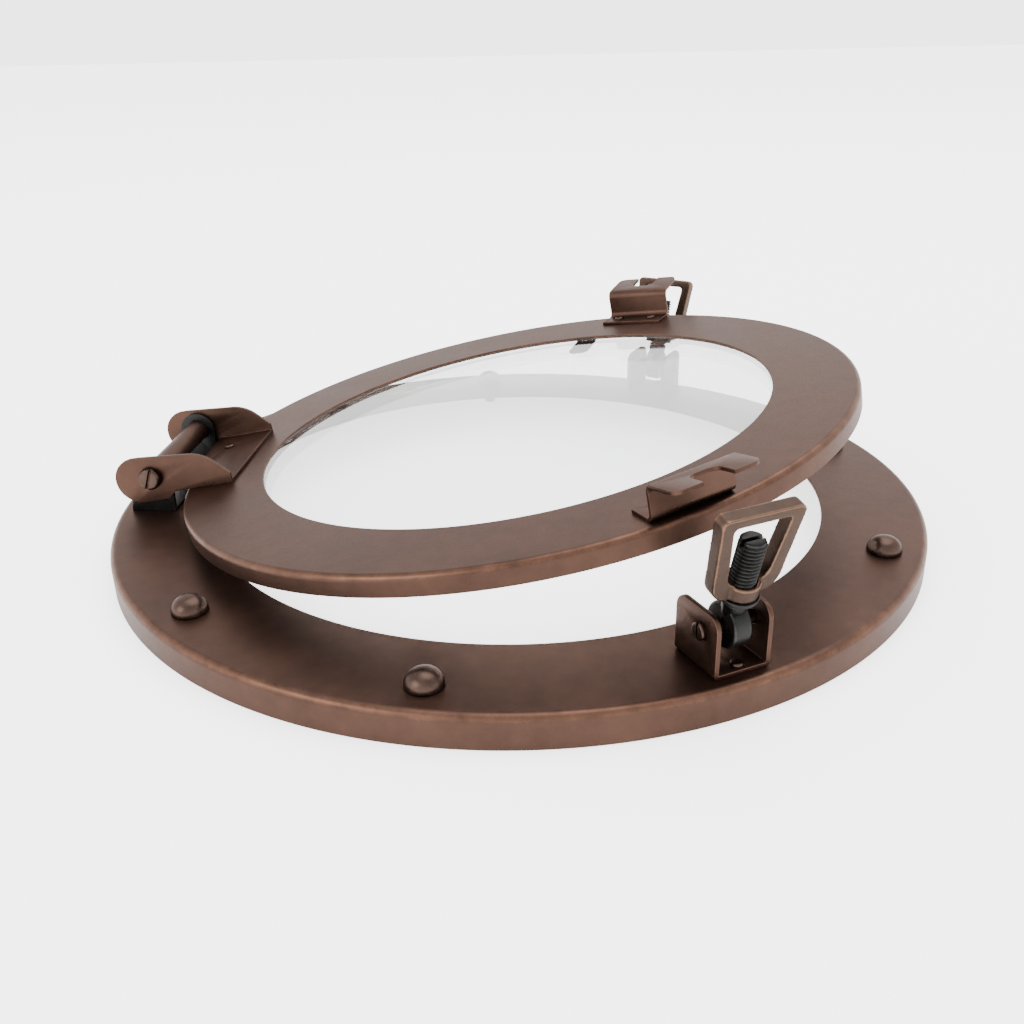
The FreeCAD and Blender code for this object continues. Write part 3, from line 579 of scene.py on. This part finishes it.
@dataclass(frozen=True)
class GlassFinish:
    """Clear glass that mirrors more and more towards a glancing view, with faint smears.

    What it mirrors stands for its share of the surface, so what is behind shows unbent
    through the rest.

    Attributes:
        name: Name of the finish.
        tint: Colour of the reflection.
        least: Share that mirrors when seen square on.
        most: Share that mirrors at a glancing view.
        climb: Power that the share climbs by between the two.
        smear: Width of a smear, in metres.
        haze: How much the smears change the share and the roughness.
        polish: Roughness between the smears.
    """

    name: str
    tint: Colour = (0.96, 0.98, 0.98)
    least: float = 0.07
    most: float = 0.48
    climb: float = 1.3
    smear: float = 0.04
    haze: float = 0.06
    polish: float = 0.03

    def material(self, on_edge: bool) -> bpy.types.Material:
        """Make the material; edges look like the rest."""
        pad = finish_pad(self.name, on_edge)
        smears = pad.noise(self.smear, detail=4.0, roughness=0.6)
        facing = Value(pad, pad.node("ShaderNodeLayerWeight", None, {"Blend": 0.5}).outputs["Facing"])
        share = (self.least + (self.most - self.least) * facing ** self.climb
                 + (smears - 0.5) * self.haze)
        return pad.close({"Base Color": (*self.tint, 1.0), "Metallic": 1.0, "Alpha": share.clamped(),
                          "Roughness": (self.polish + smears * self.haze).clamped()})


class Finish(Enum):
    """The finishes of the porthole, by the record's material slots."""

    antique_copper = RubbedMetal("antique_copper", (0.024, 0.0145, 0.0115), (0.066, 0.036, 0.026),
                                 (0.190, 0.092, 0.058), edge=0.50)
    cast_copper = RubbedMetal("cast_copper", (0.022, 0.0150, 0.0120), (0.052, 0.034, 0.026),
                              (0.120, 0.068, 0.045), roughness=0.46, cloud=0.008, depth=0.00004)
    bright_copper = RubbedMetal("bright_copper", (0.024, 0.0160, 0.0135), (0.062, 0.039, 0.031),
                                (0.300, 0.150, 0.100), roughness=0.33, cloud=0.004,
                                depth=0.000006, edge=0.42)
    black_steel = RubbedMetal("black_steel", (0.006, 0.006, 0.006), (0.018, 0.018, 0.0175),
                              (0.085, 0.082, 0.076), metallic=0.9, roughness=0.36, cloud=0.006,
                              edge=0.45)
    zinc_steel = PlainMetal("zinc_steel", (0.620, 0.620, 0.600), (0.330, 0.320, 0.300))
    glass = GlassFinish("glass")
    rubber = RubberFinish("rubber")


DRESSED: dict[tuple[str, bool], bpy.types.Material] = {}


def dress(piece: bpy.types.Object, slot: str) -> None:
    """Give a piece its slot's finish, with the worn edge finish in its second place."""
    piece.data.materials.clear()
    for on_edge in (False, True):
        if (slot, on_edge) not in DRESSED:
            DRESSED[slot, on_edge] = Finish[slot].value.material(on_edge)
        piece.data.materials.append(DRESSED[slot, on_edge])


def install(piece: bpy.types.Object, node: str) -> bpy.types.Object:
    """Dress a piece, ride it on its node's body and let it stand for that node."""
    dress(piece, SLOT_OF[node])
    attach(piece, BODY_OF[node])
    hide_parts(node)
    log.info("%s: %d faces, rides on %s", piece.name, len(piece.data.polygons), BODY_OF[node])
    return piece


@dataclass
class SheetPiece:
    """A cut or bent piece whose sharp edges are rounded.

    Attributes:
        node: The CAD node it is made from.
        edge_round: Radius of its edges, in millimetres.
        segments: Number of faces across a rounded edge.
        sharp: Least angle of an edge that is rounded, in degrees.
    """

    node: str
    edge_round: float = 0.25
    segments: int = 3
    sharp: float = 32.0

    def build(self) -> bpy.types.Object:
        """Copy the node, round every edge sharper than the curved walls' facets and dress it."""
        piece = copy_of(self.node, self.node + "_piece")
        bevel = piece.modifiers.new("edges", "BEVEL")
        bevel.width = self.edge_round * MM
        bevel.segments = self.segments
        bevel.limit_method = "ANGLE"
        bevel.angle_limit = math.radians(self.sharp)
        bevel.material = 1
        bevel.harden_normals = True
        bevel.miter_outer = "MITER_ARC"
        return install(piece, self.node)


@dataclass
class Casting:
    """A cast piece, with every edge and corner softened.

    Attributes:
        node: The CAD node it is made from.
        grit: Size of the mesh's cells, in millimetres.
        rounds: How many times the surface is smoothed.
        softness: Share of the way to its neighbours' middle that a point goes each time.
        rub: How strongly what stands out is worn.
    """

    node: str
    grit: float = 0.35
    rounds: int = 10
    softness: float = 0.5
    rub: float = 14.0

    def build(self) -> bpy.types.Object:
        """Rebuild the node's surface from small cells, smooth it and mark its worn edges."""
        piece = copy_of(self.node, self.node + "_piece")
        cells = piece.modifiers.new("cells", "REMESH")
        cells.mode = "VOXEL"
        cells.voxel_size = self.grit * MM
        cells.use_smooth_shade = True
        soft = piece.modifiers.new("soft", "SMOOTH")
        soft.factor, soft.iterations = self.softness, self.rounds
        settled(piece)
        piece.data.shade_smooth()
        rub_by_shape(piece, gain=self.rub)
        return install(piece, self.node)


# Sub-assemblies

@dataclass
class PanRing:
    """A ring pressed from sheet: flat on top, its outer rim turned down.

    Attributes:
        node: The CAD node it stands for.
        outer: Outer radius, in millimetres, like the sizes below.
        inner: Radius of the opening.
        top: Height of the flat.
        foot: Height of the rim's lower edge.
        sheet: Thickness of the sheet.
        crown: Rounding of the rim's upper edge.
        rub: How worn its edges are, from 0 to 1.
        raw: Rounding of the cut edges, as a share of the sheet's thickness.
        place: Where the ring stands.
    """

    node: str
    outer: float
    inner: float
    top: float
    foot: float
    sheet: float
    crown: float
    rub: float = 0.6
    raw: float = 0.3
    place: Matrix = field(default_factory=lambda: Matrix.Identity(4))

    def build(self) -> bpy.types.Object:
        """Turn the pan's section round its axis and dress it."""
        cut = self.sheet * self.raw
        under, within = self.top - self.sheet, self.outer - self.sheet
        section = [(self.inner, under, cut), (self.inner, self.top, cut),
                   (self.outer, self.top, self.crown), (self.outer, self.foot, cut),
                   (within, self.foot, cut), (within, under, self.crown - self.sheet)]
        profile, wear = rounded_profile(section, closed=True, fade=0.2)
        skin = lathe(profile, wear * self.rub, closed=True, around=360)
        return install(mesh_of(self.node + "_piece", skin.moved(self.place)), self.node)


@dataclass
class Glazing:
    """Glass, its gasket and the clips that hold it up against the cover.

    Attributes:
        seat: Height of the cover's underside, shut, in millimetres, like the sizes below.
        gasket: Inner and outer radius of the gasket.
        gasket_thick: Its thickness.
        gasket_round: Rounding of its edges.
        pane: Radius of the glass.
        pane_thick: Its thickness.
        pane_round: Rounding of its edges.
    """

    seat: float
    gasket: tuple[float, float] = (97.4, 105.4)
    gasket_thick: float = 0.8
    gasket_round: float = 0.25
    pane: float = 105.4
    pane_thick: float = 3.0
    pane_round: float = 0.4

    def build(self) -> None:
        """Make the gasket, the glass and the clips."""
        low, high = self.seat - self.gasket_thick, self.seat
        inner, outer = self.gasket
        section = [(radius, height, self.gasket_round)
                   for radius, height in ((inner, low), (inner, high), (outer, high), (outer, low))]
        ring = turned_piece(section, closed=True, around=240, fade=0.1)
        install(mesh_of("glass_gasket_piece", ring.moved(cover_opened())), "glass_gasket")
        back = low - self.pane_thick
        pane = turned_piece([(0, low, 0), (self.pane, low, self.pane_round),
                             (self.pane, back, self.pane_round), (0, back, 0)],
                            closed=False, around=240)
        install(mesh_of("glass_pane_piece", pane.moved(cover_opened())), "glass_pane")
        SheetPiece("glass_clips", edge_round=0.15).build()


@dataclass
class DomeBolts:
    """The dome-headed bolts round the base ring.

    Attributes:
        stations: Angle of each bolt, in degrees.
        circle: Radius of the circle they stand on, in millimetres.
        seat: Height of the ring's flat.
        head: Radius of a head.
        dome: Height of a head.
        shank: Radius of a shank.
        tail: Height of a shank's end.
        lip: Height of the straight edge under a dome.
        swell: Power of the dome's outline; under 1 it is fuller than an ellipse.
        bevel: Bevel at a shank's end.
        rub: How worn the top of a dome is, from 0 to 1.
        steps: Number of points up a dome's outline.
    """

    stations: tuple[float, ...] = (-21.0, -96.5, -134.0, 21.0, 100.0, 134.0)
    circle: float = 138.8
    seat: float = 11.0
    head: float = 5.9
    dome: float = 5.4
    shank: float = 2.5
    tail: float = 0.8
    lip: float = 0.35
    swell: float = 0.94
    bevel: float = 0.4
    rub: float = 0.3
    steps: int = 28

    def build(self) -> bpy.types.Object:
        """Turn one bolt and set it at every station.

        The dome is a swollen quarter of an ellipse that stands on its lip: its height is
        the dome's times the cosine of an angle and its radius the head's times the sine,
        each to the power of the swell. Its wear falls off with the cosine's sixth power.
        """
        angle = np.linspace(0, math.pi / 2, self.steps)
        radius = self.head * np.sin(angle) ** self.swell
        height = self.seat + self.lip + (self.dome - self.lip) * np.cos(angle) ** self.swell
        rest = [(self.head, self.seat), (self.shank, self.seat), (self.shank, self.tail + self.bevel),
                (self.shank - self.bevel, self.tail), (0.0, self.tail)]
        profile = np.vstack([np.stack([radius, height], axis=-1), rest])
        wear = np.concatenate([self.rub * np.cos(angle) ** 6, np.zeros(len(rest))])
        out = Matrix.Translation((self.circle * MM, 0, 0))
        bolt = lathe(profile, wear, closed=False, around=48).moved(out)
        bolts = joined([bolt.moved(at_station(station)) for station in self.stations])
        return install(mesh_of("dome_bolts_piece", bolts), "dome_bolts")


class Side(Enum):
    """The two dogs, by where they stand."""

    FRONT = "front"
    REAR = "rear"


@dataclass
class Dog:
    """A swing-bolt dog: a clevis, a threaded bolt with an eye, a washer and a stirrup nut.

    Attributes:
        side: Which dog it is.
        crest: Radius over the thread, in millimetres, like the sizes below.
        root: Radius at the bottom of the thread.
        pitch: Rise of the thread in one turn.
        reach: Distance from the pivot to the bolt's end.
        eye: Outer radius of the eye.
        eye_half: Half its thickness.
        bore: Radius of its bore.
        thread_start: Distance from the pivot to where the thread starts.
        slot: Width and depth of the slot across the bolt's end.
        flank: Steepness of the thread's ridge, over a plain triangle wave's.
        sink: How far the wave is sunk, as a share of the thread's depth, for a flat root.
        bevel: Height of the bevel at the bolt's end, and how far its top is drawn in.
        bevel_slope: How far the bevel draws in the thread for each unit of its height.
        neck_gap: Distance from the bore to the neck's foot.
        neck_inset: How far the neck's foot is within the eye's faces, and its top below the thread.
        neck_rows: Number of rows of points up the neck.
        eye_round: Rounding of the eye's rim.
        bore_round: Rounding of its bore's edges.
        around: Number of points round the shank.
        rows: Number of rows of points in one turn of the thread.
    """

    side: Side
    crest: float = 3.92
    root: float = 3.2
    pitch: float = 1.25
    reach: float = 30.8
    eye: float = 7.0
    eye_half: float = 3.0
    bore: float = 2.08
    thread_start: float = 8.6
    slot: tuple[float, float] = (1.3, 2.2)
    flank: float = 2.6
    sink: float = 0.15
    bevel: float = 0.9
    bevel_slope: float = 0.75
    neck_gap: float = 1.5
    neck_inset: float = 0.1
    neck_rows: int = 16
    eye_round: float = 0.9
    bore_round: float = 0.3
    around: int = 56
    rows: int = 10

    def place(self) -> Matrix:
        """From a dog at the origin that stands along Z, its pivot along Y, to its own place."""
        joint = JOINTS[f"{self.side.value}_dog_swing"]
        pivot = Vector(joint["pos_m"])
        station = math.degrees(math.atan2(pivot.y, pivot.x))
        lean = Matrix.Rotation(math.radians(-joint["range_deg"][0]), 4, "Y")
        return Matrix.Translation(pivot) @ at_station(station) @ lean

    def shank(self) -> Skin:
        """The threaded shank.

        Its radius at height s and angle t is the root's plus the thread's depth times a
        ridge, a blunted triangle wave of s over the pitch less t over a full turn, so that
        the crest climbs by one pitch a turn. The thread runs out at both ends, below it the
        neck narrows to the eye's thickness, and above it the end is bevelled.
        """
        crest_rub, rim_rub, end_rub = 0.55, 0.4, 0.2
        turn = np.linspace(0, 2 * math.pi, self.around, endpoint=False)[None, :]
        flat = 0 * turn
        rise = np.arange(self.thread_start, self.reach, self.pitch / self.rows)[:, None]
        phase = (rise / self.pitch - turn / (2 * math.pi)) % 1.0
        ridge = np.clip((0.5 - np.abs(phase - 0.5)) * self.flank - self.sink, 0, 1)
        begun = np.clip((rise - self.thread_start) / self.pitch, 0, 1)
        bevel = np.clip(rise - (self.reach - self.bevel), 0, 1)
        radius = self.crest - (self.crest - self.root) * (1 - ridge) * begun
        radius = np.minimum(radius, self.crest - self.bevel_slope * bevel)
        foot = self.bore + self.neck_gap
        neck_height = np.linspace(foot, self.thread_start - self.neck_inset, self.neck_rows)[:, None]
        share = np.clip((self.thread_start - neck_height) / (self.thread_start - foot), 0, 1)
        neck = self.crest - (self.crest - self.eye_half + self.neck_inset) * share ** 1.5 + flat
        radii = np.concatenate([flat, neck, radius, self.crest - self.bevel + flat, flat])
        bottom, top = np.array([[foot]]), np.array([[self.reach]])
        heights = np.concatenate([bottom, neck_height, rise, top, top]) + flat
        points = np.stack([radii * np.cos(turn), radii * np.sin(turn), heights], axis=-1) * MM
        wear = np.concatenate([flat, 0 * neck, ridge * crest_rub, rim_rub + flat, end_rub + flat])
        faces = grid_faces(len(radii), self.around, closed_rows=False)
        return Skin(points.reshape(-1, 3), faces, wear.reshape(-1)).outward()

    def build_bolt(self) -> bpy.types.Object:
        """Join the eye to the shank, cut the slot across its end and dress the bolt."""
        node = f"{self.side.value}_swing_bolt"
        half, past_side, past_end = self.eye_half, 6.0, 2.0
        ring = turned_piece([(self.bore, -half, self.bore_round), (self.bore, half, self.bore_round),
                             (self.eye, half, self.eye_round), (self.eye, -half, self.eye_round)],
                            closed=True, around=64, fade=0.3)
        lying = Matrix.Rotation(math.pi / 2, 4, "X")
        eye = mesh_of("eye", ring.moved(lying).moved(self.place()))
        piece = mesh_of(node + "_piece", self.shank().moved(self.place()))
        width, depth = self.slot
        corners = np.array([(x, y, z) for x in (-width / 2, width / 2) for y in (-past_side, past_side)
                            for z in (self.reach - depth, self.reach + past_end)]) * MM
        sides = np.array([(0, 1, 3, 2), (4, 6, 7, 5), (0, 4, 5, 1),
                          (2, 3, 7, 6), (0, 2, 6, 4), (1, 5, 7, 3)])
        block = Skin(corners, sides, np.zeros(len(corners))).outward()
        cutter = mesh_of("cutter", block.moved(self.place()))
        for tool, operation in ((eye, "UNION"), (cutter, "DIFFERENCE")):
            step = piece.modifiers.new(tool.name, "BOOLEAN")
            step.object, step.operation, step.solver = tool, operation, "EXACT"
        settled(piece)
        for tool in (eye, cutter):
            bpy.data.objects.remove(tool)
        piece.data.set_sharp_from_angle(angle=math.radians(50))
        return install(piece, node)

    def build(self) -> None:
        """Make all the dog's pieces."""
        SheetPiece(f"{self.side.value}_clevis").build()
        self.build_bolt()
        SheetPiece(f"{self.side.value}_thrust_washer", edge_round=0.2).build()
        Casting(f"{self.side.value}_stirrup_nut").build()


@dataclass
class HingeSet:
    """The hinge: the base bracket, the strap on the cover, the pin, its nut and its barrel.

    Attributes:
        barrel: Outer radius of the spacer barrel, in millimetres, like the sizes below.
        pin_play: Radius of its bore.
        barrel_round: Rounding of its rims.
        bore_round: Rounding of its bore's edges.
    """

    barrel: float = 4.2
    pin_play: float = 2.55
    barrel_round: float = 0.4
    bore_round: float = 0.2

    def build(self) -> None:
        """Make the hinge's pieces; the barrel is turned between the ends of its CAD node."""
        SheetPiece("hinge_bracket").build()
        SheetPiece("hinge_strap").build()
        SheetPiece("hinge_pin", edge_round=0.2).build()
        SheetPiece("hinge_pin_nut", edge_round=0.3).build()
        low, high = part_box("hinge_barrel")
        middle, half = (low + high) / 2, (high.y - low.y) / 2 / MM
        tube = turned_piece([(self.pin_play, -half, self.bore_round),
                             (self.pin_play, half, self.bore_round),
                             (self.barrel, half, self.barrel_round),
                             (self.barrel, -half, self.barrel_round)],
                            closed=True, around=64, fade=0.5)
        lying = Matrix.Translation(middle) @ Matrix.Rotation(math.pi / 2, 4, "X")
        install(mesh_of("hinge_barrel_piece", tube.moved(lying)), "hinge_barrel")


# Studio

@dataclass(frozen=True)
class Viewpoint:
    """Where the camera stands.

    Attributes:
        aim: Point that it looks at, in metres.
        distance: How far away it stands, in metres.
        azimuth: How far round it stands from the -Y side towards +X, in degrees.
        elevation: How far above the wall plane, in degrees.
        roll: How far it is turned about its line of sight, in degrees.
        lens: Focal length, in millimetres.
        sensor: Width of the sensor, in millimetres.
        near: Nearest distance that is seen, in metres.
    """

    aim: tuple[float, float, float] = (-0.0022, 0.0004, 0.0006)
    distance: float = 0.427
    azimuth: float = 5.0
    elevation: float = 24.65
    roll: float = -1.37
    lens: float = 37.7
    sensor: float = 36.0
    near: float = 0.01

    def build(self) -> None:
        """Stand the camera there and make it the scene's camera."""
        camera = linked("camera", bpy.data.cameras.new("camera"))
        camera.data.lens, camera.data.sensor_width = self.lens, self.sensor
        camera.data.clip_start = self.near
        turn = (Matrix.Rotation(math.radians(self.azimuth), 4, "Z")
                @ Matrix.Rotation(math.radians(90 - self.elevation), 4, "X")
                @ Matrix.Rotation(math.radians(self.roll), 4, "Z"))
        back = turn.to_3x3() @ Vector((0, 0, 1))
        camera.matrix_world = Matrix.Translation(Vector(self.aim) + back * self.distance) @ turn
        bpy.context.scene.camera = camera


@dataclass(frozen=True)
class SoftLight:
    """A large lamp.

    Attributes:
        name: Its name.
        stand: Where it stands, in metres.
        width: Its width, in metres.
        power: Its power, in watts.
    """

    name: str
    stand: tuple[float, float, float]
    width: float
    power: float

    def build(self) -> None:
        """Stand the lamp there, facing the object."""
        lamp = bpy.data.lights.new(self.name, "AREA")
        lamp.size, lamp.energy = self.width, self.power
        place = Vector(self.stand)
        facing = place.to_track_quat("Z", "Y").to_matrix().to_4x4()
        linked(self.name, lamp).matrix_world = Matrix.Translation(place) @ facing


@dataclass
class Studio:
    """The floor, the lamps and the pale surroundings.

    Attributes:
        floor_half: Half the floor's width, in metres.
        floor_grey: The floor's colour.
        glow: Brightness of the floor's own light, like a lit table's.
        sky: Stops of the surroundings' grey, each a height above the horizon, up to 1
            overhead, and the grey there.
        strength: Brightness of a white part of the surroundings.
        lamps: The lamps.
    """

    floor_half: float = 6.0
    floor_grey: float = 0.92
    glow: float = 2.0
    sky: tuple[tuple[float, float], ...] = ((0.04, 1.0), (0.9, 0.48), (1.0, 1.0))
    strength: float = 3.6
    lamps: tuple[SoftLight, ...] = (SoftLight("overhead", (0.3, 0.5, 1.5), 1.4, 24.0),
                                    SoftLight("left_front", (-1.1, -1.0, 0.9), 0.9, 14.0))

    def build_floor(self) -> None:
        """Lay the floor, plain and pale."""
        half, grey = self.floor_half, self.floor_grey
        corners = [(-half, -half, 0), (half, -half, 0), (half, half, 0), (-half, half, 0)]
        mesh = bpy.data.meshes.new("floor")
        mesh.from_pydata(corners, [], [(0, 1, 2, 3)])
        floor = linked("floor", mesh)
        mesh.materials.append(ShaderPad("floor").close(
            {"Base Color": (grey, grey, grey, 1.0), "Roughness": 0.9, "Specular IOR Level": 0.1,
             "Emission Strength": self.glow, "Emission Color": (1.0, 1.0, 1.0, 1.0)}))

    def build_surroundings(self) -> None:
        """Light the world, brightest at the horizon, where it meets the floor, and overhead."""
        world = bpy.data.worlds.new("studio")
        world.use_nodes = True
        tree = world.node_tree
        where = tree.nodes.new("ShaderNodeTexCoord")
        split = tree.nodes.new("ShaderNodeSeparateXYZ")
        ramp = tree.nodes.new("ShaderNodeValToRGB")
        stops = ramp.color_ramp.elements
        stops.new(0.5)
        for stop, (height, grey) in zip(stops, self.sky, strict=True):
            stop.position, stop.color = height, (grey, grey, grey, 1.0)
        tree.links.new(where.outputs["Generated"], split.inputs[0])
        tree.links.new(split.outputs["Z"], ramp.inputs[0])
        tree.links.new(ramp.outputs[0], tree.nodes["Background"].inputs["Color"])
        tree.nodes["Background"].inputs["Strength"].default_value = self.strength
        bpy.context.scene.world = world

    def build(self) -> None:
        """Set up the studio."""
        self.build_floor()
        self.build_surroundings()
        for lamp in self.lamps:
            lamp.build()


def main() -> None:
    """Build the studio, then the porthole from its base up."""
    logging.basicConfig(level=logging.INFO, format="%(message)s", stream=sys.stdout)
    Viewpoint().build()
    Studio().build()
    PanRing("base_ring", outer=152.4, inner=115.6, top=11.0, foot=0.0, sheet=1.2, crown=2.5).build()
    DomeBolts().build()
    cover = PanRing("cover_ring", outer=126.6, inner=96.6, top=18.8, foot=11.7, sheet=1.0, crown=2.0,
                    place=cover_opened())
    cover.build()
    Glazing(seat=cover.top - cover.sheet).build()
    HingeSet().build()
    for side in Side:
        SheetPiece(f"{side.value}_lug").build()
        Dog(side).build()
    for node in ("dome_bolt_nuts", "pivot_screws", "pivot_nuts"):
        SheetPiece(node, edge_round=0.2).build()
    for node in ("hinge_bracket_rivets", "clevis_rivets", "strap_rivets", "lug_rivets"):
        SheetPiece(node, edge_round=0.1, segments=2).build()


if __name__ == "__main__":
    main()
